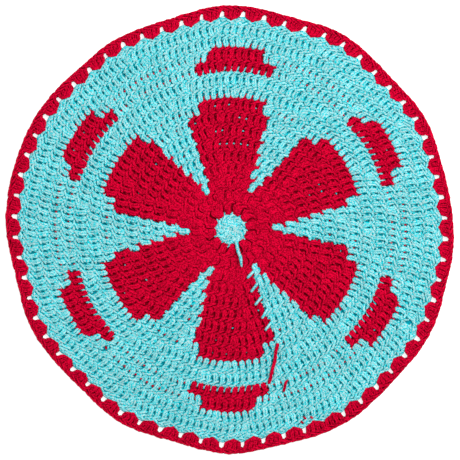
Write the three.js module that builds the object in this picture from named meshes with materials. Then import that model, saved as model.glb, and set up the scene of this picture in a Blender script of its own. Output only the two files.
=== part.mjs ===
// A round crochet placemat: a flat mat worked in rounds, with an edging of shells round it.
// Millimetres, +Z up. The underside lies at z = 0 and the first petal of the mat points to +Y.
// Bearings are in degrees, clockwise from +Y as seen from above.
import * as THREE from "three";

// ---- Driving sizes ----
const CLOTH_THICKNESS = 4; // the tall stitches are three strands of yarn deep, pressed together
const YARN_DIAMETER = 2.6;
const CLEARANCE = 0.3; // left between pieces that touch each other

// ---- The edging: shells side by side, each over three stitches of the mat's last round ----
const SHELL_COUNT = 64;
const SHELL_PITCH = 360 / SHELL_COUNT; // degrees
const FIRST_GAP_BEARING = 3.1; // the gap between the last shell and the first
const CLOSED_GAP = 27; // here the two shells have closed up
const STITCHES_PER_SHELL = 4;
const RIM_RIPPLE = 0.3; // how far the top of each stitch stands out of the rim

// Depths are measured inwards from the rim.
const SHELL_DEPTH = 12.8; // to the foot of a shell
const BRIDGE_DEPTH = 9.6; // to the mat's edge between two shells
const GAP_TIP_DEPTH = 3.8; // to the outer tip of a gap
const GAP_FOOT_WIDTH = 3.9;
const GAP_TIP_WIDTH = 1.0;
const GAP_LEAN = 1.2; // how far the tip leans clockwise
const GAP_UNEVENNESS = 0.18; // share by which the gaps' widths differ
const GAP_BEAT = 2.4; // radians from one gap to the next in that unevenness
const GAP_FOOT_RADIUS = 170;
const SHELL_WIDTH = (2 * Math.PI * GAP_FOOT_RADIUS) / SHELL_COUNT;

// ---- The rim, uneven as hand work is: its bulges and flats, one after another clockwise. ----
// creep is how far, in degrees, the shells there have slid round clockwise.
const RIM = [
  { bearing: 0, radius: 179.2, creep: 0.1 },
  { bearing: 15, radius: 176.6, creep: 0.2 },
  { bearing: 31, radius: 179.7, creep: -0.1 },
  { bearing: 46, radius: 176.5, creep: -0.1 },
  { bearing: 61, radius: 179.1, creep: -0.4 },
  { bearing: 75, radius: 176.5, creep: -0.7 },
  { bearing: 97, radius: 178.6, creep: -0.7 },
  { bearing: 105, radius: 177.8, creep: -0.9 },
  { bearing: 119, radius: 180.0, creep: -1.0 },
  { bearing: 133, radius: 177.8, creep: -1.1 },
  { bearing: 150, radius: 179.8, creep: -1.0 },
  { bearing: 168, radius: 177.0, creep: -0.8 },
  { bearing: 181, radius: 179.5, creep: -0.8 },
  { bearing: 196, radius: 175.8, creep: -0.8 },
  { bearing: 210, radius: 177.9, creep: -0.4 },
  { bearing: 224, radius: 174.7, creep: 0.2 },
  { bearing: 244, radius: 178.1, creep: 0.5 },
  { bearing: 256, radius: 175.9, creep: 0.5 },
  { bearing: 274, radius: 180.3, creep: 0.2 },
  { bearing: 299, radius: 180.4, creep: -0.1 },
  { bearing: 318, radius: 176.9, creep: 0.2 },
  { bearing: 327, radius: 177.7, creep: 0.3 },
  { bearing: 342, radius: 175.3, creep: 0.2 },
];

// ---- Loose yarn on the top face, from the middle of the mat: x, y of each bend ----
const RING_TAIL_ROUTE = [
  [0.0, 0.0], [0.9, -2.3], [1.9, -4.6], [2.9, -6.8], [3.8, -9.0],
  [4.5, -11.2], [4.9, -13.4], [5.3, -15.6], [5.9, -17.8], [6.8, -19.9],
  [7.6, -21.9], [8.0, -24.0], [8.2, -26.1], [8.4, -28.1], [8.8, -30.0],
];
const FLOAT_ROUTE = [
  [37.6, -91.4], [37.0, -93.6], [36.3, -95.9], [35.8, -98.1], [35.6, -100.4],
  [35.4, -102.7], [35.1, -105.0], [34.5, -107.2], [33.8, -109.4], [33.2, -111.6],
  [32.7, -113.9], [32.2, -116.2], [31.7, -118.4], [31.1, -120.7], [30.5, -123.0],
];
const STRAND_SIDES = 8;
const STRAND_STEPS = 15;

// ---- Colours ----
const aquaYarn = new THREE.MeshStandardMaterial({ color: "#78ced4", roughness: 0.85, metalness: 0 });
const redYarn = new THREE.MeshStandardMaterial({ color: "#ba022a", roughness: 0.85, metalness: 0 });

// The rim's radius and creep at a bearing, eased from one bulge or flat to the next.
function rimAt(bearing) {
  const turned = ((bearing % 360) + 360) % 360;
  const at = RIM.findLastIndex((row) => row.bearing <= turned);
  const from = RIM[at];
  const to = RIM[(at + 1) % RIM.length];
  const span = (to.bearing - from.bearing + 360) % 360;
  const ease = 0.5 - 0.5 * Math.cos((Math.PI * (turned - from.bearing)) / span);
  return {
    radius: from.radius + (to.radius - from.radius) * ease,
    creep: from.creep + (to.creep - from.creep) * ease,
  };
}

// A point at a bearing, so far inwards from the rim and so far round clockwise, in millimetres.
function pointAt(bearing, depth, shift = 0) {
  const radius = rimAt(bearing).radius - depth;
  const angle = THREE.MathUtils.degToRad(bearing) + shift / radius;
  return new THREE.Vector2(radius * Math.sin(angle), radius * Math.cos(angle));
}

// The bearing at a share of the way from one gap to the next.
function shellBearing(shell, share) {
  const bearing = FIRST_GAP_BEARING + SHELL_PITCH * (shell + share);
  return bearing + rimAt(bearing).creep;
}

// How deep the seam between mat and edging lies at that share: deepest under the shell's middle.
function seamDepth(share) {
  const drop = 0.5 - 0.5 * Math.cos(2 * Math.PI * share);
  return BRIDGE_DEPTH + (SHELL_DEPTH - BRIDGE_DEPTH) * drop;
}

// How much wider or narrower than the usual one the gap before a shell is.
function gapSpread(shell) {
  return 1 + GAP_UNEVENNESS * Math.sin(GAP_BEAT * (shell % SHELL_COUNT));
}

// The seam's bends under one shell, from the gap before it to the gap after it.
function seamPoints(shell, clearance) {
  const halfGap = GAP_FOOT_WIDTH / 2 / SHELL_WIDTH;
  const start = halfGap * gapSpread(shell);
  const end = 1 - halfGap * gapSpread(shell + 1);
  const shares = [start, 0.3, 0.5, 0.7, end];
  return shares.map((share) => seamPoint(shell, share, clearance));
}

function seamPoint(shell, share, clearance) {
  return pointAt(shellBearing(shell, share), seamDepth(share) - clearance);
}

// The mat's outline: a shallow notch under each shell and a bridge between two shells.
function matShape() {
  const points = [];
  for (let shell = 0; shell < SHELL_COUNT; shell += 1) {
    points.push(seamPoint(shell, 0, 0));
    points.push(...seamPoints(shell, 0));
  }
  return new THREE.Shape(points);
}

// The narrow outer tip of the gap before a shell; the tip leans clockwise.
function gapTip(shell) {
  const width = GAP_TIP_WIDTH * gapSpread(shell);
  const bearing = shellBearing(shell, 0);
  const sides = [GAP_LEAN - width / 2, GAP_LEAN + width / 2];
  return sides.map((shift) => pointAt(bearing, GAP_TIP_DEPTH, shift));
}

// The edging's inner outline: the seam under each shell, and the gaps that run up between shells.
function seamOutline() {
  const points = [];
  for (let shell = 0; shell < SHELL_COUNT; shell += 1) {
    const closed = shell === CLOSED_GAP;
    points.push(...(closed ? [seamPoint(shell, 0, CLEARANCE)] : gapTip(shell)));
    points.push(...seamPoints(shell, CLEARANCE));
  }
  return new THREE.Path(points);
}

// The edging's outer outline: one low bump for the top of each stitch.
function edgingShape() {
  const points = [];
  for (let stitch = 0; stitch < SHELL_COUNT * STITCHES_PER_SHELL; stitch += 1) {
    const share = stitch / STITCHES_PER_SHELL;
    points.push(pointAt(shellBearing(0, share), RIM_RIPPLE));
    points.push(pointAt(shellBearing(0, share + 0.5 / STITCHES_PER_SHELL), 0));
  }
  const shape = new THREE.Shape(points.reverse()); // counter-clockwise, so that the hole faces inwards
  shape.holes.push(seamOutline());
  return shape;
}

function clothPiece(name, shape, material) {
  const options = { depth: CLOTH_THICKNESS, bevelEnabled: false };
  const piece = new THREE.Mesh(new THREE.ExtrudeGeometry(shape, options), material);
  piece.name = name;
  return piece;
}

// A strand of yarn that lies on the top face along its route.
function strand(name, route, material) {
  const height = CLOTH_THICKNESS + CLEARANCE + YARN_DIAMETER / 2;
  const path = new THREE.CatmullRomCurve3(route.map(([x, y]) => new THREE.Vector3(x, y, height)));
  const section = new THREE.Shape();
  section.absarc(0, 0, YARN_DIAMETER / 2, 0, 2 * Math.PI);
  const options = { steps: STRAND_STEPS, curveSegments: STRAND_SIDES / 2, extrudePath: path };
  const piece = new THREE.Mesh(new THREE.ExtrudeGeometry(section, options), material);
  piece.name = name;
  return piece;
}

const edging = clothPiece("edging", edgingShape(), redYarn);
const placemat = new THREE.Group();
placemat.add(clothPiece("mat", matShape(), aquaYarn));
placemat.add(edging);
placemat.add(strand("ring_tail", RING_TAIL_ROUTE, aquaYarn));
placemat.add(strand("float_strand", FLOAT_ROUTE, redYarn));

// The origin is under the middle of the whole mat's box, so the middle of the rounds is a little off it.
const middle = new THREE.Box3().setFromObject(edging).getCenter(new THREE.Vector3());
placemat.position.set(-middle.x, -middle.y, 0);

export default placemat;
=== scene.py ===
"""A round crochet placemat in aqua and red cotton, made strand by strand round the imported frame.

Lengths are millimetres until a mesh is made, and bearings are degrees clockwise from +Y, seen from above.
"""
import math

import bpy
import numpy as np
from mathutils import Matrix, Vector


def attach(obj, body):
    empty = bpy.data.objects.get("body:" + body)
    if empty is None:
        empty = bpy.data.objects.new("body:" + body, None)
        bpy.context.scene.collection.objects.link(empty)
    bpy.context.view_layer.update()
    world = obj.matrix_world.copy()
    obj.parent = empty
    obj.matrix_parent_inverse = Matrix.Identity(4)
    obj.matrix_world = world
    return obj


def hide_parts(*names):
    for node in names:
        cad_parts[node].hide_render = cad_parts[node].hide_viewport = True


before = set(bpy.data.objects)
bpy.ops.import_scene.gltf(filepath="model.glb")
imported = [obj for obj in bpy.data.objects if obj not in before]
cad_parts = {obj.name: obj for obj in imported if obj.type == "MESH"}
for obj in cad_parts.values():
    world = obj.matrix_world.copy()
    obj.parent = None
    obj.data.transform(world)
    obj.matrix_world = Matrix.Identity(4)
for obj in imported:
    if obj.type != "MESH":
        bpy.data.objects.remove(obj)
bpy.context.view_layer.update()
MM = 0.001
RNG = np.random.default_rng(41)

# ---- The rounds ----
ROUNDS = 16
STITCHES_MORE_EACH_ROUND = 12
PETALS = 6
YARN = 2.4  # width of a strand in the cloth
PRESSED = 0.58  # a strand's height as a share of its width
LOWEST = 0.1  # of any strand, above the table
DEPTH_SHADE_BELOW = 3.4  # painted shade: where the colour starts to darken and grow purer, down from the right side
BACK_DEPTH_SHADE_ABOVE = 0.6  # the same, up from the back
DEPTH_SHADE_OVER = 1.2  # from either of these to where the painted shade is strongest
FIRST_SLIT_RADIUS = 6.4
ROUND_HEIGHT = 10.25
ROUND_BELLY = 2.4  # the middle rounds lie this much further out than even steps would put them
ROUND_SHIFT = ((6, 8, 12, 13.5, 15), (0, -0.7, -0.6, 0.2, 0))  # round number, further out
FOOT_BELOW_SLIT = 4.8
STITCH_HEIGHT = 10.1  # the height that the strands' own sizes are written for
CARRIED_ROUNDS = (7, 8, 9, 10, 13, 14)  # where the carried yarn shows between the stitches
CARRIED_UP = {7: 3.5, 8: 3.6, 9: 3.5, 10: 3.5, 13: 2.7, 14: 3.2}  # from a stitch's foot, round by round
# The higher, the less of the carried red shows
RED_HIDDEN = {7: 4.0, 8: 3.0, 9: 2.5, 10: 1.5, 13: 0.12, 14: 0.12}
# Where aqua shows in the red of the top petal
AQUA_SHOWN = {7: (-9.2, -4.5, 0.1, 7.6, 12.5), 8: (-9.7, -5.7), 9: (5.3, 8.6), 10: (-2.2, -6.6)}
AQUA_HIDDEN = 10.0
CARRIED_WIDTH = {"aqua": 1.2, "red": 1.9}
CARRIED_LOW = 1.0  # height of a hidden strand
CARRIED_JITTER = 0.25
RIM_RADIUS = 178.0  # mean
SHELL_DEPTH = 12.8
START_RING_RADIUS = 1.0
START_RING_YARN = 2.2
START_RING_HEIGHT = 3.0
TOP_OF_RING = 0.8  # from this share of a strand's height up, it counts as its top or its underside; nearer its sides it takes the flanks' painted shade
STEEP = 0.9  # a line that climbs more than this has its first ring set out another way
LOBES = 3  # how many plies stand out round a strand
LOBE_SPACING = 3.2  # along a strand
PLY_RELIEF = 0.12  # share of the strand's width
FLANK_SHADE_IN_GROOVES = 1.5  # how far grooves between plies take the flanks' painted shade colour
PLIES = 5
PLY_SPACING = 1.7  # along a strand
FUZZ_SCALE = 1800  # to the metre
PATCH_SCALE = 800  # of lighter and deeper dye
PATCH_CONTRAST = 8.4
PATCH_LEVEL = -3.85
# Painted shade: the yarn's colour is darker in ply grooves, and darker and purer low in the cloth and on
# strands' flanks
PLY_GROOVE_SHADE = 0.7
DEPTH_SHADE_DARKER = 0.4
FLANK_SHADE_POWER = 0.6
DEPTH_SHADE_POWER = 1.1
SHADE_RANGE = 0.2

# The chart. In each sixth of a round: how many stitches are red, and the bearing at which they start.
CHART = {
    1: (0, 0.0),
    2: (4, 0.0),
    3: (6, 0.0),
    4: (7, -28.0),
    5: (8, -25.8),
    6: (9, -24.4),
    7: (10, -23.6),
    8: (11, -23.2),
    9: (12, -22.0),
    10: (10, -15.6),
    11: (0, -1.0),
    12: (0, 1.9),
    13: (12, -13.2),
    14: (8, -7.4),
    15: (0, 0.75),
    16: (0, 0.07),
}
TOP_LEAN = 0.25  # share of a stitch by which its top lies clockwise of its post
POST_PULL = 0.45  # how far a post is pulled from its even place towards its foot
POST_LEAN = 0.035  # share of a stitch by which a post leans clockwise for each mm up
LEAN_FROM, LEAN_OVER = 3, 4  # mm up from the foot where the lean starts, and over how many mm it grows
POST_REACHED = 6  # mm up from the foot where a stitch has come over to its post's bearing
TOP_FROM, TOP_OVER = 5, 4.5  # mm up where it starts to turn to its top's, and over how many mm it does
POST_WOBBLE = 0.035  # shares of a stitch
TOP_WOBBLE = 0.03
SHARED_SPREAD = 0.18  # share of a stitch by which stitches in one hole stand apart
JITTER = 0.12  # mm by which a whole strand lies further up or down its stitch
BEND_JITTER = JITTER * 0.5  # the same for each bend
HEIGHT_JITTER = JITTER * 0.6
ACROSS_JITTER = (0.04, 0.015)  # how much wider or narrower a strand lies, and how far aside, in stitches

# ---- The shells of the edging ----
SHELLS = 64
STITCHES_PER_SHELL = 4
SHELL_END = 0.30  # share of a stitch from a shell's side to the first strand
SHELL_PITCH = 360 / SHELLS
FIRST_GAP_BEARING = 3.1
CLOSED_GAP = 27
SHELL_FOOT_SHARE = 0.44  # where a shell's foot lies between its two gaps
GAP_TIP_DEPTH = 4.2  # depths are inwards from the rim
GAP_TIP_SLANT = 1.6  # how much deeper the tip's corner lies on the left than on the right
BRIDGE_DEPTH = 9.6
GAP_TIP_WIDTH = 2.3
GAP_FOOT_WIDTH = 3.3
GAP_LEAN = 0.7  # how far the tip of a gap lies clockwise of its foot
GAP_UNEVENNESS = 0.18
GAP_BEAT = 2.4
GAP_FOOT_RADIUS = 170
SHELL_WIDTH = math.radians(SHELL_PITCH) * GAP_FOOT_RADIUS
SHELL_YARN = 1.8
SHELL_UNEVENNESS = 0.05  # of the yarn's width
SHELL_JITTER = 0.15  # as for the rounds, inwards
SHELL_BEND_JITTER = SHELL_JITTER * 0.6
SHELL_HEIGHT_JITTER = SHELL_JITTER * 0.8
NARROWED_ABOVE = 0.8  # mm above the bridge where a shell starts to narrow to its foot
NARROWED_BELOW = 0.2  # mm past the shell's depth where it would end
NARROWED_RISE = 0.9  # how much less deep a shell's outer stitches reach
FOOT_HALF_WIDTH = 0.3
RIGHT_NARROWING = 1.3  # power: a shell's right side curves in later than its left
GAP_CLOSING = 0.6  # mm over which a gap closes above its tip
HILL_HEIGHT = 0.7  # of the mat's edge under a gap, above and below its mean

# ---- The uneven rim: bearing, radius, creep. As in the part's source. ----
RIM = np.array([
    (0, 179.2, 0.1), (15, 176.6, 0.2), (31, 179.7, -0.1), (46, 176.5, -0.1), (61, 179.1, -0.4),
    (75, 176.5, -0.7), (97, 178.6, -0.7), (105, 177.8, -0.9), (119, 180.0, -1.0), (133, 177.8, -1.1),
    (150, 179.8, -1.0), (168, 177.0, -0.8), (181, 179.5, -0.8), (196, 175.8, -0.8), (210, 177.9, -0.4),
    (224, 174.7, 0.2), (244, 178.1, 0.5), (256, 175.9, 0.5), (274, 180.3, 0.2), (299, 180.4, -0.1),
    (318, 176.9, 0.2), (327, 177.7, 0.3), (342, 175.3, 0.2),
])
CENTRE = np.array([0.907, 0.140])  # of the rounds, in the row frame

# ---- Loose yarn on the top face, from the middle of the rounds ----
RING_TAIL = np.array([
    (0.0, 0.0), (0.9, -2.3), (1.9, -4.6), (2.9, -6.8), (3.8, -9.0),
    (4.5, -11.2), (4.9, -13.4), (5.3, -15.6), (5.9, -17.8), (6.8, -19.9),
    (7.6, -21.9), (8.0, -24.0), (8.2, -26.1), (8.4, -28.1), (8.8, -30.0),
])
FLOAT = np.array([
    (37.6, -91.4), (37.0, -93.6), (36.3, -95.9), (35.8, -98.1), (35.6, -100.4),
    (35.4, -102.7), (35.1, -105.0), (34.5, -107.2), (33.8, -109.4), (33.2, -111.6),
    (32.7, -113.9), (32.2, -116.2), (31.7, -118.4), (31.1, -120.7), (30.5, -123.0),
])
# Where each round begins, its first strand crosses the red: outer end, inner end
SEAM = (
    ((18.2, -33.5), (13.4, -38.8)), ((21.4, -43.0), (16.3, -49.9)), ((25.0, -53.4), (19.5, -60.3)),
    ((29.0, -63.9), (25.0, -70.9)), ((32.3, -74.1), (27.6, -80.4)),
)
RED_END = (((44.2, -121.0), (42.3, -129.2)),)
RED_STUBS = (
    ((58.2, -149.8), (59.8, -151.2)), ((55.9, -153.2), (57.3, -154.5)), ((64.0, -149.6), (65.2, -150.8)),
)
SEAM_YARN, STUB_YARN = 2.2, 1.6
SEAM_LOW, SEAM_HIGH = 3.0, 4.6
STUB_LOW, STUB_HIGH = 2.4, 4.2
NEAR_END_DROP, FAR_END_DROP = 0.2, 0.9  # where a short strand comes up, and where it goes back in
LOOSE_DIAMETER = 2.6


# ---------------------------------------------------------------- camera

def add_camera():
    """Straight above the mat, and far enough up that it is seen almost without perspective."""
    data = bpy.data.cameras.new("camera")
    camera = bpy.data.objects.new("camera", data)
    bpy.context.scene.collection.objects.link(camera)
    bpy.context.scene.camera = camera
    height = 1.6
    view_width = 0.368
    data.sensor_width = 36
    data.lens = data.sensor_width * height / view_width
    camera.location = (0.00027, -0.00042, height)
    camera.rotation_euler = (0, 0, 0)
    data.clip_start, data.clip_end = 0.05, 20


# ---------------------------------------------------------------- materials

class Nodes:
    """A short way to write a material's nodes."""

    def __init__(self, name):
        self.material = bpy.data.materials.new(name)
        self.material.use_nodes = True
        self.tree = self.material.node_tree
        self.shader = self.tree.nodes["Principled BSDF"]

    def add(self, kind, *inputs, **settings):
        node = self.tree.nodes.new(kind)
        for key, value in settings.items():
            setattr(node, key, value)
        for at, value in enumerate(inputs):
            self.feed(node.inputs[at], value)
        return node

    def feed(self, socket, value):
        if value is None:
            return
        if hasattr(value, "outputs"):
            value = value.outputs[0]
        if hasattr(value, "links"):
            self.tree.links.new(value, socket)
        else:
            socket.default_value = value

    def math(self, operation, *inputs):
        return self.add("ShaderNodeMath", *inputs, operation=operation).outputs[0]

    def limit(self, value):
        """Between 0 and 1."""
        return self.add("ShaderNodeMath", value, 0.0, operation="ADD", use_clamp=True).outputs[0]

    def noise(self, place, scale, detail):
        node = self.add("ShaderNodeTexNoise", place)
        node.inputs["Scale"].default_value = scale
        node.inputs["Detail"].default_value = detail
        return node.outputs[0]

    def mix(self, factor, a, b, blend="MIX"):
        node = self.tree.nodes.new("ShaderNodeMix")
        node.data_type = "RGBA"
        node.blend_type = blend
        self.feed(node.inputs["Factor"], factor)
        # The sockets of the two colours and of the mixed one
        self.feed(node.inputs[6], a)
        self.feed(node.inputs[7], b)
        return node.outputs[2]


def linear(colour):
    """sRGB, 0 to 255, as linear colour with alpha."""
    parts = [c / 255 for c in colour]
    return tuple(c / 12.92 if c <= 0.04045 else ((c + 0.055) / 1.055) ** 2.4 for c in parts) + (1.0,)


def yarn_material(name, depth_shade_colour, darker_dye_and_groove_shade, light, flank_shade_colour):
    """Matt twisted cotton, its plies winding round the strand. Painted shade: the colour darkens and grows
    purer low in the cloth, on strands' flanks and in the grooves between plies.
    """
    n = Nodes(name)
    along = n.add("ShaderNodeUVMap", uv_map="Yarn")
    split = n.add("ShaderNodeSeparateXYZ", along)
    turn, length = split.outputs[0], split.outputs[1]
    wound = n.math(
        "ADD", n.math("MULTIPLY", turn, PLIES * math.pi), n.math("MULTIPLY", length, math.pi / PLY_SPACING),
    )
    ply = n.math("ABSOLUTE", n.math("SINE", wound))
    depth = n.add("ShaderNodeAttribute", attribute_name="depth").outputs["Fac"]
    tone = n.add("ShaderNodeAttribute", attribute_name="tone").outputs["Fac"]
    flank_shade = n.add("ShaderNodeAttribute", attribute_name="flank_shade").outputs["Fac"]
    place = n.add("ShaderNodeTexCoord").outputs["Object"]
    fuzz = n.noise(place, FUZZ_SCALE, 3)
    patches = n.noise(place, PATCH_SCALE, 1)
    dye_and_shade_lightness = n.math("MULTIPLY_ADD", patches, PATCH_CONTRAST, PATCH_LEVEL)
    # Painted shade: darker in the grooves between plies, lighter on the ply crests; the patches above are
    # random dye
    dye_and_shade_lightness = n.math("ADD", dye_and_shade_lightness, n.math("MULTIPLY", ply, PLY_GROOVE_SHADE))
    # Painted shade: darker low in the cloth
    dye_and_shade_lightness = n.math("SUBTRACT", dye_and_shade_lightness, n.math("MULTIPLY", depth, DEPTH_SHADE_DARKER))
    surface = n.mix(n.limit(dye_and_shade_lightness), darker_dye_and_groove_shade, light)
    # Painted shade: a strand's flanks and ply grooves take the flank shade colour
    surface = n.mix(n.math("POWER", n.limit(flank_shade), FLANK_SHADE_POWER), surface, flank_shade_colour)
    # Painted shade: low in the cloth the colour turns to its shade colour
    surface = n.mix(n.math("POWER", depth, DEPTH_SHADE_POWER), surface, depth_shade_colour)
    shade = n.math("MULTIPLY_ADD", n.math("ADD", tone, fuzz), SHADE_RANGE, 1 - SHADE_RANGE)
    grey = n.add("ShaderNodeCombineColor", shade, shade, shade)
    n.feed(n.shader.inputs["Base Color"], n.mix(1.0, surface, grey, "MULTIPLY"))
    n.shader.inputs["Roughness"].default_value = 0.85
    n.shader.inputs["Specular IOR Level"].default_value = 0.03
    bump = n.add("ShaderNodeBump")
    bump.inputs["Strength"].default_value = 0.8
    bump.inputs["Distance"].default_value = 0.0004
    n.feed(bump.inputs["Height"], n.math("ADD", ply, n.math("MULTIPLY", fuzz, 0.35)))
    n.feed(n.shader.inputs["Normal"], bump.outputs[0])
    return n.material


def plain_material(name, colour):
    """One matt colour, for the floor."""
    n = Nodes(name)
    n.shader.inputs["Base Color"].default_value = colour
    n.shader.inputs["Roughness"].default_value = 0.9
    n.shader.inputs["Specular IOR Level"].default_value = 0.1
    return n.material


# ---------------------------------------------------------------- the cloth's own coordinates

def rim_at(bearing):
    """The rim's radius and creep, eased from one bulge or flat to the next."""
    turned = np.mod(bearing, 360)
    at = np.searchsorted(RIM[:, 0], turned, side="right") - 1
    start, end = RIM[at], RIM[(at + 1) % len(RIM)]
    span = np.mod(end[..., 0] - start[..., 0], 360)
    share = 0.5 - 0.5 * np.cos(np.pi * (turned - start[..., 0]) / span)
    eased = start + (end - start) * share[..., None]
    return eased[..., 1], eased[..., 2]


def on_cloth(bearing, radius, height):
    """Row-frame millimetres of a point given in even rounds, pulled out of true as the rim is."""
    rim, creep = rim_at(bearing)
    share = (radius / RIM_RADIUS) ** 2
    pulled = radius * (1 + (rim / RIM_RADIUS - 1) * share)
    angle = np.radians(bearing + creep * share)
    x = CENTRE[0] + pulled * np.sin(angle)
    y = CENTRE[1] + pulled * np.cos(angle)
    return np.stack(np.broadcast_arrays(x, y, height), axis=-1)


def foot_radius(round_no):
    """Where the stitches of a round come out of the round before."""
    if round_no > ROUNDS:
        return RIM_RADIUS - SHELL_DEPTH
    step = round_no - 1
    belly = ROUND_BELLY * math.sin(math.pi * step / (ROUNDS - 1)) + np.interp(round_no, *ROUND_SHIFT)
    return FIRST_SLIT_RADIUS - FOOT_BELOW_SLIT + ROUND_HEIGHT * step + belly


class Stitches:
    """Stitches side by side: where each one's foot, post and top lie, and its colour."""

    def __init__(self, round_no, foot, post, top, pitch, red):
        self.round_no = np.full(len(post), round_no)
        self.foot, self.post, self.top = foot, post, top
        self.pitch = np.full(len(post), pitch)
        self.red = red
        self.base = np.full(len(post), foot_radius(round_no))
        self.height = np.full(len(post), foot_radius(round_no + 1) - foot_radius(round_no))

    def pick(self, wanted):
        part = object.__new__(Stitches)
        part.__dict__ = {key: value[wanted] for key, value in self.__dict__.items()}
        return part

    def hill(self):
        """How much further out the mat's last loops lie under the edging's gaps than on the mean."""
        share = (self.top - FIRST_GAP_BEARING) / SHELL_PITCH
        return HILL_HEIGHT * np.cos(2 * np.pi * share)

    @staticmethod
    def join(groups):
        whole = object.__new__(Stitches)
        keys = groups[0].__dict__
        whole.__dict__ = {key: np.concatenate([g.__dict__[key] for g in groups]) for key in keys}
        return whole


def nearest(wanted, holes):
    """For each wanted bearing, the nearest of the holes, as a bearing near it."""
    gaps = np.mod(holes[None, :] - wanted[:, None] + 180, 360) - 180
    best = np.abs(gaps).argmin(axis=1)
    return wanted + gaps[np.arange(len(wanted)), best], best


def spread_shared(feet, holes_used, pitch):
    """Stitches that share a hole stand a little apart in it."""
    feet = feet.copy()
    for k in range(len(feet)):
        before = holes_used[k - 1] == holes_used[k]
        after = holes_used[(k + 1) % len(feet)] == holes_used[k]
        feet[k] += pitch * SHARED_SPREAD * (int(before) - int(after))
    return feet


def charted_rounds():
    """Each round's stitches, worked into the nearest tops of the round before."""
    rounds, holes = [], None
    for round_no, (reds, start) in CHART.items():
        count = STITCHES_MORE_EACH_ROUND * round_no
        pitch = 360 / count
        numbers = np.arange(count)
        wobble = RNG.normal(0, POST_WOBBLE, count) * pitch
        post = start + (numbers + 0.5) * pitch + wobble
        top = start + (numbers + 0.5 + TOP_LEAN) * pitch + RNG.normal(0, TOP_WOBBLE, count) * pitch
        red = numbers % (count // PETALS) < reds
        if holes is None:
            foot = post.copy()
        else:
            foot, used = nearest(post, holes)
            foot = spread_shared(foot, used, pitch)
            post += (foot - post) * POST_PULL
        rounds.append(Stitches(round_no, foot, post, top, pitch, red))
        holes = top
    return rounds


# ---------------------------------------------------------------- strands

def smooth(points, steps):
    """A Catmull-Rom line of so many steps through each row of points."""
    count = points.shape[1]
    before = 2 * points[:, :1] - points[:, 1:2]
    beyond = 2 * points[:, -1:] - points[:, -2:-1]
    padded = np.concatenate([before, points, beyond], axis=1)
    at = np.linspace(0, count - 1, steps + 1)
    first = np.minimum(at.astype(int), count - 2)
    t = (at - first)[None, :, None]
    a, b, c, d = (padded[:, first + k] for k in range(4))
    curve = 2 * b + (c - a) * t + (2 * a - 5 * b + 4 * c - d) * t**2
    return 0.5 * (curve + (3 * b - a - 3 * c + d) * t**3)


def unit(v):
    return v / np.maximum(np.linalg.norm(v, axis=-1, keepdims=True), 1e-9)


def per_point(values, rows, count):
    """One value for all, one a row or one a point, as one a point."""
    values = np.asarray(values, float)
    if values.ndim == 1:
        values = values[:, None]
    return np.broadcast_to(values, (rows, count))


def per_row(values):
    """One value a strand, to go with its quads' corners."""
    return values[:, None, None, None]


def rings_round(lines, turn):
    """Round each point of each line, the unit steps from it to the corners of its ring."""
    tangent = unit(np.gradient(lines, axis=1))
    side = np.empty_like(lines)
    steep = np.abs(tangent[:, 0, 2]) > STEEP
    seed = np.where(steep[:, None], [1.0, 0.0, 0.0], [0.0, 0.0, 1.0])
    side[:, 0] = unit(np.cross(tangent[:, 0], seed))
    for k in range(1, lines.shape[1]):
        last = side[:, k - 1]
        side[:, k] = unit(last - (last * tangent[:, k]).sum(-1, keepdims=True) * tangent[:, k])
    other = np.cross(tangent, side)
    return side[:, :, None] * np.cos(turn)[:, None] + other[:, :, None] * np.sin(turn)[:, None]


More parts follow.
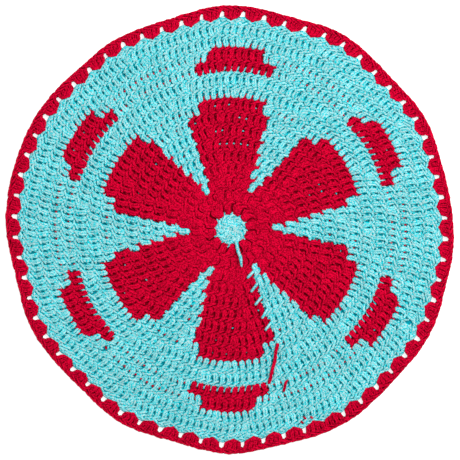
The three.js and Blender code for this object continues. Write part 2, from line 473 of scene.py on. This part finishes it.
class Strands:
    """Tubes of yarn, gathered until one mesh is made of them."""

    # In the map for baking, each strand has a cell: its quads inside an edge, and a spot in it for each cap
    CELL_EDGE, CELL_INSIDE = 0.07, 0.86
    CAP_PLACE, CAP_SIZE = 0.03, 0.02

    def __init__(self, sides=6):
        self.sides = sides
        self.parts = []

    def add(self, lines, thickness, pressed=PRESSED):
        """lines: rows of points in millimetres. thickness: one for all, one a row, or one a point."""
        rows, count = lines.shape[:2]
        thick = per_point(thickness, rows, count)
        turn = np.arange(self.sides) / self.sides * math.tau
        ring = rings_round(lines, turn)
        steps = np.linalg.norm(np.diff(lines, axis=1), axis=-1)
        length = np.concatenate([np.zeros((rows, 1)), steps.cumsum(axis=1)], axis=1)
        wound = LOBES * turn + math.tau * length[..., None] / LOBE_SPACING
        wound = wound + RNG.uniform(0, math.tau, (rows, 1, 1))
        relief = PLY_RELIEF * np.cos(wound) + RNG.normal(0, PLY_RELIEF / 2, wound.shape)
        faces_down = ring[..., 2] < 0
        # The flanks' painted shade: 1 on a strand's sides and in the grooves between plies, 0 on its top and
        # underside
        flank_shade = 1 - np.clip(np.abs(ring[..., 2]) / TOP_OF_RING, 0, 1) - relief * FLANK_SHADE_IN_GROOVES
        ring[..., 2] *= pressed
        points = lines[:, :, None] + ring * (1 + relief[..., None]) * (thick / 2)[:, :, None, None]
        points[..., 2] = np.maximum(points[..., 2], LOWEST)
        # Painted shade: how far a point lies below the right side or above the back, which darkens its colour
        inwards = np.where(faces_down, points[..., 2] - BACK_DEPTH_SHADE_ABOVE, DEPTH_SHADE_BELOW - points[..., 2])
        tone = np.broadcast_to(RNG.uniform(0, 1, rows)[:, None, None], points.shape[:3])
        self.parts.append({
            "points": points, "length": length, "depth": np.clip(inwards / DEPTH_SHADE_OVER, 0, 1),
            "tone": tone, "flank_shade": flank_shade, "start": RNG.uniform(0, 1, rows),
        })

    def gather(self, key):
        return np.concatenate([part[key].reshape(-1) for part in self.parts])

    def tube(self, index, part, cell, cells):
        """The quads round each strand: their corners, their sizes and both maps."""
        after = np.roll(index, -1, axis=2)
        quads = np.stack([index[:, :-1], after[:, :-1], after[:, 1:], index[:, 1:]], axis=-1)
        turn = np.arange(self.sides) / self.sides
        beyond = turn + 1 / self.sides
        near, far = part["length"][:, :-1], part["length"][:, 1:]
        u = np.broadcast_to(np.stack([turn, beyond, beyond, turn], axis=-1), quads.shape)
        v = np.broadcast_to(np.stack([near, near, far, far], axis=-1)[:, :, None], quads.shape)
        share = v / per_row(part["length"][:, -1])
        bake_u = (per_row(cell[0]) + self.CELL_EDGE + self.CELL_INSIDE * u) / cells[0]
        bake_v = (per_row(cell[1]) + self.CELL_EDGE + self.CELL_INSIDE * share) / cells[1]
        yarn = np.stack([u + per_row(part["start"]), v], axis=-1)
        bake = np.stack([bake_u, bake_v], axis=-1)
        return quads.reshape(-1), np.full(quads[..., 0].size, 4), yarn.reshape(-1, 2), bake.reshape(-1, 2)

    def cap(self, ring, end, cell, cells):
        """The cap on one end, 0 or 1, of each strand: as for the tube."""
        turn = np.arange(self.sides) / self.sides
        yarn = np.stack([np.broadcast_to(turn, ring.shape), np.full(ring.shape, float(end))], axis=-1)
        along = 1 - self.CAP_PLACE if end else self.CAP_PLACE
        spot_u = (cell[0][:, None] + 0.5 + self.CAP_SIZE * np.cos(turn * math.tau)) / cells[0]
        spot_v = (cell[1][:, None] + along + self.CAP_SIZE * np.sin(turn * math.tau)) / cells[1]
        bake = np.stack([spot_u, spot_v], axis=-1)
        return ring.reshape(-1), np.full(len(ring), self.sides), yarn.reshape(-1, 2), bake.reshape(-1, 2)

    def mesh(self, name, material):
        """One mesh: quads round each strand and a cap on each end, with maps for the plies and for baking."""
        total = sum(len(part["points"]) for part in self.parts)
        columns = max(1, round(math.sqrt(total * 2)))
        cells = (columns, math.ceil(total / columns))
        faces = []
        made, strand = 0, 0
        for part in self.parts:
            shape = part["points"].shape[:3]
            index = made + np.arange(math.prod(shape)).reshape(shape)
            number = strand + np.arange(shape[0])
            cell = (number % columns, number // columns)
            faces.append(self.tube(index, part, cell, cells))
            faces.append(self.cap(index[:, 0, ::-1], 0, cell, cells))
            faces.append(self.cap(index[:, -1], 1, cell, cells))
            made += math.prod(shape)
            strand += shape[0]
        corners, sizes, yarn, bake = (np.concatenate(column) for column in zip(*faces))
        return new_mesh(
            name, self.gather("points").reshape(-1, 3), corners, sizes, [material],
            maps={"Yarn": yarn, "OFBake": bake},
            values={key: self.gather(key) for key in ("depth", "tone", "flank_shade")},
        )


def new_mesh(name, places, corners, sizes, materials, maps=None, values=None, slots=None, is_smooth=True):
    """An object from plain arrays, its places in millimetres.

    corners: the faces' vertices, one after another. sizes: how many each face has.
    slots: each face's material.
    """
    me = bpy.data.meshes.new(name)
    me.vertices.add(len(places))
    me.vertices.foreach_set("co", (places * MM).astype(np.float32).ravel())
    me.loops.add(len(corners))
    me.loops.foreach_set("vertex_index", corners.astype(np.int32))
    me.polygons.add(len(sizes))
    starts = np.concatenate([[0], np.cumsum(sizes)[:-1]])
    me.polygons.foreach_set("loop_start", starts.astype(np.int32))
    me.polygons.foreach_set("use_smooth", np.full(len(sizes), is_smooth))
    for material in materials:
        me.materials.append(material)
    if slots is not None:
        me.polygons.foreach_set("material_index", slots.astype(np.int32))
    for key, uv in (maps or {}).items():
        layer = me.uv_layers.new(name=key)
        layer.uv.foreach_set("vector", uv.astype(np.float32).ravel())
    for key, value in (values or {}).items():
        attribute = me.attributes.new(key, "FLOAT", "POINT")
        attribute.data.foreach_set("value", value.astype(np.float32))
    me.update(calc_edges=True)
    me.validate()
    piece = bpy.data.objects.new(name, me)
    bpy.context.scene.collection.objects.link(piece)
    return piece


# ---------------------------------------------------------------- one stitch

# Each strand's bends: across (in stitch widths), up from the foot (mm), height above the table (mm).
KNOB = np.array([
    (-0.10, 8.2, 2.2), (-0.15, 6.9, 2.9), (-0.155, 5.4, 3.1), (-0.17, 4.0, 3.3), (-0.20, 2.5, 3.4),
    (-0.17, 0.9, 3.3), (-0.06, -0.1, 3.0), (0.06, -0.1, 3.0), (0.17, 0.9, 3.3), (0.20, 2.5, 3.4),
    (0.17, 4.0, 3.3), (0.155, 5.4, 3.1), (0.15, 6.9, 2.9), (0.10, 8.2, 2.2),
])
# At each of these bends, as a share of the yarn's width
KNOB_WIDTH = [0.76, 0.84, 0.78, 0.86, 1.04, 1.06, 0.9, 0.9, 1.06, 1.04, 0.86, 0.78, 0.84, 0.76]
WRAP = np.array([
    (-0.56, 6.1, 2.3), (-0.36, 6.3, 3.0), (-0.11, 7.2, 3.3), (0.13, 8.2, 3.3), (0.34, 9.0, 3.0),
    (0.50, 9.4, 2.3),
])
# Behind the post, where it shows on the back and between two knobs
BACK_BAR = np.array([
    (-0.50, 8.4, 1.5), (-0.50, 6.6, 0.9), (-0.50, 4.2, 0.9), (-0.50, 1.4, 1.4),
])
# Up from the foot of the next round
FRONT_LOOP = np.array([
    (-0.60, 2.9, 1.9), (-0.48, 2.7, 2.8), (-0.23, 1.1, 2.9), (0.0, -1.3, 3.2), (0.23, 1.1, 2.9),
    (0.46, 2.5, 2.7), (0.56, 2.8, 1.7),
])
# Where nothing is worked into them, the top loops lie along the edge
EDGE_FRONT = np.array([
    (-0.62, 1.7, 2.0), (-0.45, 1.5, 2.9), (-0.23, 0.5, 3.4), (0.0, -0.1, 3.5), (0.23, 0.5, 3.2),
    (0.43, 1.4, 2.9), (0.60, 1.7, 2.0),
])
EDGE_BACK = np.array([
    (-0.66, 1.6, 2.1), (-0.40, 1.9, 2.6), (0.0, 2.0, 2.8), (0.40, 1.9, 2.6), (0.66, 1.6, 2.1),
])
# Under the knobs of the next round, also up from its foot
BACK_LOOP = np.array([
    (-0.62, -1.3, 2.7), (-0.40, -1.2, 2.8), (0.0, -0.7, 1.1), (0.40, -1.2, 2.8), (0.62, -1.3, 2.7),
])
# Along the edging: across in stitch widths, inwards from the rim (mm), height above the table (mm)
SHELL_LEGS = np.array([
    (-0.15, 2.8, 2.9), (-0.20, 3.9, 3.2), (-0.20, 5.1, 3.3), (-0.20, 7.2, 3.4), (-0.20, 9.3, 3.6),
    (-0.16, 11.0, 3.6), (-0.08, 12.2, 3.4), (0.08, 12.2, 3.4), (0.16, 11.0, 3.6), (0.20, 9.3, 3.6),
    (0.20, 7.2, 3.4), (0.20, 5.1, 3.3), (0.20, 3.9, 3.2), (0.15, 2.8, 2.9),
])
SHELL_WRAP = np.array([
    (-0.62, 8.7, 2.6), (-0.40, 8.5, 3.1), (0.0, 7.7, 3.8), (0.40, 6.9, 3.1), (0.62, 6.7, 2.6),
])
SHELL_FRONT = np.array([
    (-0.62, 1.6, 2.6), (-0.34, 1.8, 3.4), (0.0, 2.7, 3.7), (0.36, 3.5, 3.4), (0.62, 3.7, 2.6),
])
SHELL_BACK = np.array([
    (-0.64, 1.3, 2.8), (-0.25, 0.9, 3.2), (0.20, 1.0, 3.2), (0.64, 1.4, 2.8),
])
# Between two stitches, under them
SHELL_BAR = np.array([
    (-0.50, 10.0, 1.5), (-0.50, 6.8, 1.0), (-0.50, 4.8, 1.0), (-0.50, 3.0, 1.4),
])

# A stitch's other measures: widths are shares of the yarn's, the rest is in mm
YARN_UNEVENNESS = 0.04
INNER_UNTIL, INNER_OVER = 6.5, 2.5  # the first rounds differ up to here, less and less over so many of them
INNER_YARN = 0.18  # how much thicker the yarn lies in them
INNER_BAR_DROP, INNER_BAR_RISE = 1.6, 1.3
RED_BAR_RISE, CARRIED_BAR_DROP = 0.4, 0.5  # the bars of red stitches lie higher, of aqua ones here lower
WRAP_WIDTH = 0.92
LOOP_WIDTH, FIRST_LOOP_WIDTH = 0.76, 0.62
FIRST_LOOP_DROP = 1.0  # of the first round
EDGE_RISE = 0.3
EDGE_WRAP_RISE = 2.4


def ease(t):
    t = np.clip(t, 0, 1)
    return t * t * (3 - 2 * t)


def centre_line(stitches, up):
    """The bearing of a stitch's middle at so many millimetres up from its foot."""
    foot, post, top = (a[:, None] for a in (stitches.foot, stitches.post, stitches.top))
    lean = POST_LEAN * stitches.pitch[:, None] * np.clip(up - LEAN_FROM, 0, LEAN_OVER)
    at_post = ease(up / POST_REACHED)
    at_top = ease((up - TOP_FROM) / TOP_OVER)
    return foot + (post - foot) * at_post + (top - post) * at_top + lean


def lay(stitches, bends, from_top=False, lift=0, raised=0):
    """The bends of one strand in every stitch, as row-frame points.

    from_top: the bends are up from the next round's foot. lift: further up. raised: higher above the table.
    """
    count = len(stitches.post)
    shape = (count, len(bends))
    up = np.broadcast_to(bends[:, 1], shape) + (STITCH_HEIGHT if from_top else 0)
    up = up + np.reshape(lift, (-1, 1)) + RNG.normal(0, JITTER, (count, 1))
    up = up + RNG.normal(0, BEND_JITTER, shape)
    high = bends[:, 2] + np.reshape(raised, (-1, 1)) + RNG.normal(0, HEIGHT_JITTER, (count, 1))
    width_jitter, bend_jitter = ACROSS_JITTER
    across = bends[:, 0] * RNG.normal(1, width_jitter, (count, 1)) + RNG.normal(0, bend_jitter, (count, 1))
    radius = stitches.base[:, None] + up * (stitches.height / STITCH_HEIGHT)[:, None]
    bearing = centre_line(stitches, up) + across * stitches.pitch[:, None]
    return on_cloth(bearing, radius, high)


def work(strands, stitches):
    """Adds every strand of the stitches."""
    count = len(stitches.post)
    inner = np.clip((INNER_UNTIL - stitches.round_no) / INNER_OVER, 0, 1)
    is_carried = np.isin(stitches.round_no, CARRIED_ROUNDS)
    deeper = np.where(stitches.red, -RED_BAR_RISE, np.where(is_carried, CARRIED_BAR_DROP, 0.0))
    thick = YARN * (1 + RNG.normal(0, YARN_UNEVENNESS, count)) * (1 + INNER_YARN * inner)
    knob_steps = 15
    at = np.linspace(0, len(KNOB) - 1, knob_steps + 1)
    swell = np.interp(at, np.arange(len(KNOB)), KNOB_WIDTH)
    strands.add(smooth(lay(stitches, KNOB), knob_steps), thick[:, None] * swell)
    strands.add(smooth(lay(stitches, WRAP), 6), thick * WRAP_WIDTH)
    bars = lay(stitches, BACK_BAR, lift=inner * -INNER_BAR_DROP, raised=inner * INNER_BAR_RISE - deeper)
    strands.add(smooth(bars, 3), thick)
    strands.add(smooth(lay(stitches, BACK_LOOP, from_top=True), 4), thick)
    last = stitches.round_no == ROUNDS
    if not last.all():
        top_loops(strands, stitches.pick(~last), thick[~last])
    if last.any():
        edge_loops(strands, stitches.pick(last), thick[last])


def top_loops(strands, stitches, thick):
    """The front loops, which the next round's knobs leave in sight."""
    first = stitches.round_no == 1
    width = np.where(first, FIRST_LOOP_WIDTH, LOOP_WIDTH)
    loops = lay(stitches, FRONT_LOOP, from_top=True, lift=first * -FIRST_LOOP_DROP)
    strands.add(smooth(loops, 8), thick * width)


def edge_loops(strands, stitches, thick):
    """The last round's top loops, and a second wrap where no shell's foot is worked in."""
    rise = stitches.hill() + EDGE_RISE
    strands.add(smooth(lay(stitches, EDGE_FRONT, from_top=True, lift=rise), 8), thick * WRAP_WIDTH)
    strands.add(smooth(lay(stitches, EDGE_BACK, from_top=True, lift=rise), 4), thick)
    high = stitches.hill() > -HILL_HEIGHT / 2
    part = stitches.pick(high)
    wraps = lay(part, WRAP, lift=part.hill() + EDGE_WRAP_RISE)
    strands.add(smooth(wraps, 6), thick[high] * WRAP_WIDTH)


def starting_ring():
    """The ring of yarn that the first round is worked into."""
    turn = np.linspace(0, math.tau, 13)
    height = np.full(len(turn), START_RING_HEIGHT)
    ring = [START_RING_RADIUS * np.sin(turn), START_RING_RADIUS * np.cos(turn), height]
    return (np.column_stack(ring) + [*CENTRE, 0])[None]


def short_strands(strands, ends, width, low, high):
    """Short strands that come out of the cloth, lie on it and go back in, from the middle of the rounds."""
    ends = np.array(ends) + CENTRE
    share = np.linspace(0, 1, 5)[None, :, None]
    xy = ends[:, :1] * (1 - share) + ends[:, 1:] * share
    heights = np.array([low, high - NEAR_END_DROP, high, high, high - FAR_END_DROP])
    z = np.broadcast_to(heights[None, :, None], xy.shape[:2] + (1,))
    strands.add(smooth(np.concatenate([xy, z], axis=-1), 8), width, pressed=0.75)


# ---------------------------------------------------------------- the edging

def gap_spread(shell):
    """How much wider or narrower than the usual one the gap before a shell is."""
    spread = 1 + GAP_UNEVENNESS * np.sin(GAP_BEAT * np.mod(shell, SHELLS))
    return np.where(np.mod(shell, SHELLS) == CLOSED_GAP, 0, spread)


def gap_side(shell, depth, side):
    """How far clockwise of a gap's own bearing its side (-1 or 1) lies at each depth, in mm."""
    foot_share = np.clip((depth - GAP_TIP_DEPTH) / (BRIDGE_DEPTH - GAP_TIP_DEPTH), 0, 1)
    width = GAP_TIP_WIDTH + (GAP_FOOT_WIDTH - GAP_TIP_WIDTH) * foot_share
    corner = GAP_TIP_DEPTH - side * GAP_TIP_SLANT / 2
    opened = np.clip((depth - corner + GAP_CLOSING) / GAP_CLOSING, 0, 1)
    return GAP_LEAN * (1 - foot_share) + side * width / 2 * opened * gap_spread(shell)


def lay_shells(shell, which, bends):
    """The bends of one strand in every stitch of every shell, as row-frame points."""
    count = len(shell)
    shell, which = shell[:, None], which[:, None]
    depth = bends[:, 1] + RNG.normal(0, SHELL_JITTER, (count, 1))
    depth = depth + RNG.normal(0, SHELL_BEND_JITTER, (count, len(bends)))
    high = bends[:, 2] + RNG.normal(0, SHELL_HEIGHT_JITTER, (count, 1))
    narrowing = SHELL_DEPTH - BRIDGE_DEPTH + NARROWED_BELOW
    narrowed = np.clip((depth + NARROWED_ABOVE - BRIDGE_DEPTH) / narrowing, 0, 1)
    is_outer = (which == 0) | (which == STITCHES_PER_SHELL - 1)
    depth = depth - NARROWED_RISE * narrowed * is_outer
    point = SHELL_FOOT_SHARE * SHELL_WIDTH
    left = gap_side(shell, depth, 1)
    right = SHELL_WIDTH + gap_side(shell + 1, depth, -1)
    left = left + (point - FOOT_HALF_WIDTH - left) * narrowed
    right = right + (point + FOOT_HALF_WIDTH - right) * narrowed ** RIGHT_NARROWING
    inset = SHELL_YARN / 2 * np.clip(depth - GAP_TIP_DEPTH + 1, 0, 1)
    share = (which + 0.5 + bends[:, 0] - SHELL_END) / (STITCHES_PER_SHELL - 2 * SHELL_END)
    share = np.where(depth > GAP_TIP_DEPTH, np.clip(share, 0, 1), share)
    along = left + inset + (right - left - 2 * inset) * share
    bearing = FIRST_GAP_BEARING + SHELL_PITCH * shell + np.degrees(along / GAP_FOOT_RADIUS)
    return on_cloth(bearing, RIM_RADIUS - depth, high)


def work_shells(strands):
    """Adds every strand of the shells."""
    shell = np.repeat(np.arange(SHELLS), STITCHES_PER_SHELL)
    which = np.tile(np.arange(STITCHES_PER_SHELL), SHELLS)
    thick = SHELL_YARN * (1 + RNG.normal(0, SHELL_UNEVENNESS, len(shell)))
    for bends, steps in (
        (SHELL_LEGS, 18), (SHELL_WRAP, 5), (SHELL_FRONT, 6), (SHELL_BACK, 4), (SHELL_BAR, 3),
    ):
        strands.add(smooth(lay_shells(shell, which, bends), steps), thick)


# ---------------------------------------------------------------- carried yarn

# Its bends from one stitch to the next: share of the way, further up (mm), higher where it is in sight (mm)
CARRIED = np.array([
    (0.15, -0.3, 0.0), (0.38, 0.0, 1.4), (0.50, 0.2, 2.6), (0.62, 0.0, 1.4), (0.85, -0.3, 0.0),
])


def carry(strands, rounds, wanted_red):
    """The other colour's yarn, carried through the stitches of the two-coloured rounds.

    Between two stitches it rises by its share of shown: 0 leaves it inside the cloth, 1 brings it into sight.
    """
    for stitches in rounds:
        round_no = stitches.round_no[0]
        if round_no not in CARRIED_ROUNDS:
            continue
        count = len(stitches.post)
        over = stitches.red != wanted_red
        middle = np.arange(count)[over]
        after = (middle + 1) % count
        step = np.mod(stitches.post[after] - stitches.post[middle], 360)
        bearing = stitches.post[middle][:, None] + step[:, None] * CARRIED[:, 0]
        up = CARRIED_UP[round_no] + RNG.normal(0, CARRIED_JITTER, (len(middle), 1))
        up = up + CARRIED[:, 1]
        hidden = RED_HIDDEN[round_no] if wanted_red else AQUA_HIDDEN
        shown = RNG.uniform(0, 1, (len(middle), 1)) ** hidden
        if not wanted_red and round_no in AQUA_SHOWN:
            _, best = nearest(np.array(AQUA_SHOWN[round_no]), bearing[:, 2])
            shown[best] = 1
        high = CARRIED_LOW + CARRIED[:, 2] * shown
        lines = on_cloth(bearing, stitches.base[0] + up * stitches.height[0] / STITCH_HEIGHT, high)
        strands.add(smooth(lines, 4), CARRIED_WIDTH["red" if wanted_red else "aqua"])


# ---------------------------------------------------------------- the thin sheets under the stitches

SHEET_LOW, SHEET_HIGH = 1.55, 1.95
SHEET_AROUND = 192  # faces round each ring
SHEET_BANDS = 2  # in each round
SHEET_HOLE = 0.8  # radius in the middle
SHEET_UNDER_SHELLS = 2.2
EDGING_INSET = 0.9
EDGING_MIDDLE = 2.0  # height between the solid's two faces


def sheet_rings(rounds):
    """The radius of each ring of the mat's sheet, and the stitches that lie over the band outside it.

    With the stitches comes how far up them the band's middle lies.
    """
    radii, owners = [], []
    for stitches in rounds:
        for step in range(SHEET_BANDS):
            radii.append(stitches.base[0] + stitches.height[0] * step / SHEET_BANDS)
            owners.append((stitches, (step + 0.5) * STITCH_HEIGHT / SHEET_BANDS))
    radii[0] = SHEET_HOLE
    radii.append(RIM_RADIUS - SHELL_DEPTH + SHEET_UNDER_SHELLS)
    return np.array(radii), owners


def reds_along(stitches, up, bearings):
    """At each bearing, whether the stitch there is red."""
    lines = centre_line(stitches, np.full((len(stitches.post), 1), up))[:, 0]
    _, best = nearest(bearings, lines)
    return stitches.red[best]


def mat_sheet(rounds, aqua, red):
    """A thin closed disc inside the mat that stands for the yarn under the stitches. It is coloured as the
    stitches over it, but darker: painted shade where it shows through the slits.
    """
    around = SHEET_AROUND
    radii, owners = sheet_rings(rounds)
    bearings = np.arange(around) * 360 / around
    grid = on_cloth(bearings[None, :], radii[:, None], 0.0)
    layers = []
    for height in (SHEET_HIGH, SHEET_LOW):
        layer = grid.copy()
        layer[..., 2] = height
        layers.append(layer.reshape(-1, 3))
    half = len(layers[0])
    here = np.arange(around)
    beside = (here + 1) % around
    faces, slots = [], []
    for ring, (stitches, up) in enumerate(owners):
        a, b = ring * around + here, ring * around + beside
        c, d = b + around, a + around
        upper = np.stack([a, d, c, b], axis=-1)
        lower = half + np.stack([a, b, c, d], axis=-1)
        faces.append(np.stack([upper, lower], axis=1).reshape(-1, 4))
        slots.append(np.repeat(reds_along(stitches, up, bearings + 180 / around), 2))
    a, b = len(owners) * around + here, len(owners) * around + beside
    faces.append(np.stack([a, half + a, half + b, b], axis=-1))
    faces.append(np.stack([here, beside, half + beside, half + here], axis=-1))
    slots.append(np.zeros(2 * around))
    faces = np.concatenate(faces)
    # A depth of 1 all over gives the sheet its material's painted shade colour
    return new_mesh(
        "mat_web", np.concatenate(layers), faces.ravel(), np.full(len(faces), 4), [aqua, red],
        slots=np.concatenate(slots), is_smooth=False, values={"depth": np.ones(2 * half)},
    )


def edging_sheet(material):
    """The edging's own outline, a little inside it and thin, in a darker red as painted shade."""
    me = bpy.data.objects["edging"].data.copy()
    me.name = "edging_web"
    count = len(me.vertices)
    co = np.empty(count * 3, np.float32)
    me.vertices.foreach_get("co", co)
    co = co.reshape(-1, 3)
    # Corners above each other are pushed the same way, as their side faces look
    keys = np.round(co[:, :2] * 1e5).astype(int)
    _, same = np.unique(keys, axis=0, return_inverse=True)
    same = same.ravel()
    push = np.zeros((same.max() + 1, 2))
    for face in me.polygons:
        if abs(face.normal.z) < 0.5:
            for v in face.vertices:
                push[same[v]] += face.normal.x, face.normal.y
    push = unit(push)
    co[:, :2] -= push[same] * EDGING_INSET * MM
    co[:, 2] = np.where(co[:, 2] < EDGING_MIDDLE * MM, SHEET_LOW, SHEET_HIGH) * MM
    me.vertices.foreach_set("co", co.ravel())
    me.materials.clear()
    me.materials.append(material)
    # A depth of 1 all over gives it its material's painted shade colour
    me.attributes.new("depth", "FLOAT", "POINT").data.foreach_set("value", np.ones(count, np.float32))
    me.update()
    piece = bpy.data.objects.new("edging_web", me)
    bpy.context.scene.collection.objects.link(piece)
    return piece


# ---------------------------------------------------------------- loose yarn

def loose_line(route, heights):
    """A route from the middle of the rounds, with its heights, in the row frame."""
    xy = route + CENTRE
    return np.column_stack([xy, heights])


def cord_piece(name, line, material, taper=None):
    """One loose strand, and the path that it follows, in metres. taper: its width's share, point by point."""
    strands = Strands(sides=10)
    thick = np.full(len(line), LOOSE_DIAMETER)
    if taper is not None:
        thick = thick * taper
    fine = smooth(line[None], 3 * (len(line) - 1))
    at = np.linspace(0, 1, fine.shape[1])
    thick = np.interp(at, np.linspace(0, 1, len(line)), thick)
    strands.add(fine, thick[None], pressed=1)
    return strands.mesh(name, material), fine[0] * MM


# ---------------------------------------------------------------- light and floor

def add_stage():
    size = 4.0
    me = bpy.data.meshes.new("floor")
    corners = [(-size, -size, 0), (size, -size, 0), (size, size, 0), (-size, size, 0)]
    me.from_pydata(corners, [], [(0, 1, 2, 3)])
    floor = bpy.data.objects.new("floor", me)
    bpy.context.scene.collection.objects.link(floor)
    white = plain_material("floor_white", (0.6, 0.6, 0.6, 1))
    shader = white.node_tree.nodes["Principled BSDF"]
    shader.inputs["Emission Color"].default_value = (1, 1, 1, 1)
    shader.inputs["Emission Strength"].default_value = 0.75
    me.materials.append(white)


def add_area(name, place, target, size, power):
    data = bpy.data.lights.new(name, "AREA")
    data.size = size
    data.energy = power
    light = bpy.data.objects.new(name, data)
    bpy.context.scene.collection.objects.link(light)
    light.location = place
    direction = np.array(target) - np.array(place)
    light.rotation_euler = Vector(direction).to_track_quat("-Z", "Y").to_euler()


def add_light():
    world = bpy.data.worlds.new("studio")
    bpy.context.scene.world = world
    world.use_nodes = True
    background = world.node_tree.nodes["Background"]
    background.inputs["Color"].default_value = (1, 1, 1, 1)
    background.inputs["Strength"].default_value = 0.75
    add_area("key", (0.7, 0.7, 1.3), (0, 0, 0), 0.7, 22)
    bpy.context.scene.view_settings.view_transform = "Standard"


# ---------------------------------------------------------------- making it

add_camera()

AQUA = (linear((0, 190, 202)), linear((177, 215, 216)), linear((0, 230, 238)))  # darker dye and painted groove shade, lighter dye, painted flank shade
RED = (linear((140, 0, 26)), linear((219, 2, 53)), linear((196, 0, 42)))
aqua_yarn = yarn_material("aqua_yarn", linear((0, 190, 206)), *AQUA)
red_yarn = yarn_material("red_yarn", linear((120, 0, 20)), *RED)
# Darker colours for the thin sheets: painted shade where they show through the slits
aqua_shaded_sheet = yarn_material("aqua_shaded_sheet", linear((0, 156, 174)), *AQUA)
red_shaded_sheet = yarn_material("red_shaded_sheet", linear((134, 0, 22)), *RED)


def yarn_piece(strands, name, is_red):
    """The strands as one piece in their own colour."""
    piece = strands.mesh(name, red_yarn if is_red else aqua_yarn)
    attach(piece, "root")
    return piece


# The two loose strands: their heights above the table at some of their points, and the tail's thin end
tail_heights = np.interp(np.arange(len(RING_TAIL)), [0, 3, 4, 6, 14], [1.6, 1.6, 3.2, 5.3, 5.4])
tail_taper = np.interp(np.arange(len(RING_TAIL)), [0, 11, 14], [1.0, 1.0, 0.45])
tail_line = loose_line(RING_TAIL, tail_heights)
ring_tail, tail_path = cord_piece("ring_tail_yarn", tail_line, aqua_yarn, tail_taper)
float_heights = np.interp(np.arange(len(FLOAT)), [0, 2, 12, 14], [3.4, 5.5, 5.5, 3.2])
float_piece, float_path = cord_piece("float_yarn", loose_line(FLOAT, float_heights), red_yarn)
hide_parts("ring_tail")
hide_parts("float_strand")
for piece, path, far_end, slot in (
    (ring_tail, tail_path, "bare", "aqua_yarn"),
    (float_piece, float_path, "object", "red_yarn"),
):
    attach(piece, "root")

rounds = charted_rounds()
every = Stitches.join(rounds)

# Each piece's name, its first and last round, and whether it is red
groups = [
    ("aqua_inner_rounds", 1, 11, False),
    ("aqua_middle_rounds", 12, 14, False),
    ("aqua_outer_round", 15, 15, False),
    ("aqua_last_round", ROUNDS, ROUNDS, False),
    ("red_inner_rounds", 1, 7, True),
    ("red_outer_rounds", 8, ROUNDS, True),
]
for name, first, last, is_red in groups:
    strands = Strands()
    wanted = (every.red == is_red) & (every.round_no >= first) & (every.round_no <= last)
    if name == "aqua_inner_rounds":
        strands.add(starting_ring(), START_RING_YARN)
        short_strands(strands, SEAM, SEAM_YARN, SEAM_LOW, SEAM_HIGH)
    if name == "red_outer_rounds":
        short_strands(strands, RED_END, SEAM_YARN, SEAM_LOW, SEAM_HIGH)
        short_strands(strands, RED_STUBS, STUB_YARN, STUB_LOW, STUB_HIGH)
    work(strands, every.pick(wanted))
    yarn_piece(strands, name, is_red)

for name, is_red in (("carried_aqua", False), ("carried_red", True)):
    strands = Strands(sides=5)
    carry(strands, rounds, is_red)
    yarn_piece(strands, name, is_red)

strands = Strands()
work_shells(strands)
shells = yarn_piece(strands, "shells", True)

mat_web = mat_sheet(rounds, aqua_shaded_sheet, red_shaded_sheet)
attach(mat_web, "root")
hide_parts("mat")
edging_web = edging_sheet(red_shaded_sheet)
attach(edging_web, "root")
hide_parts("edging")

add_stage()
add_light()
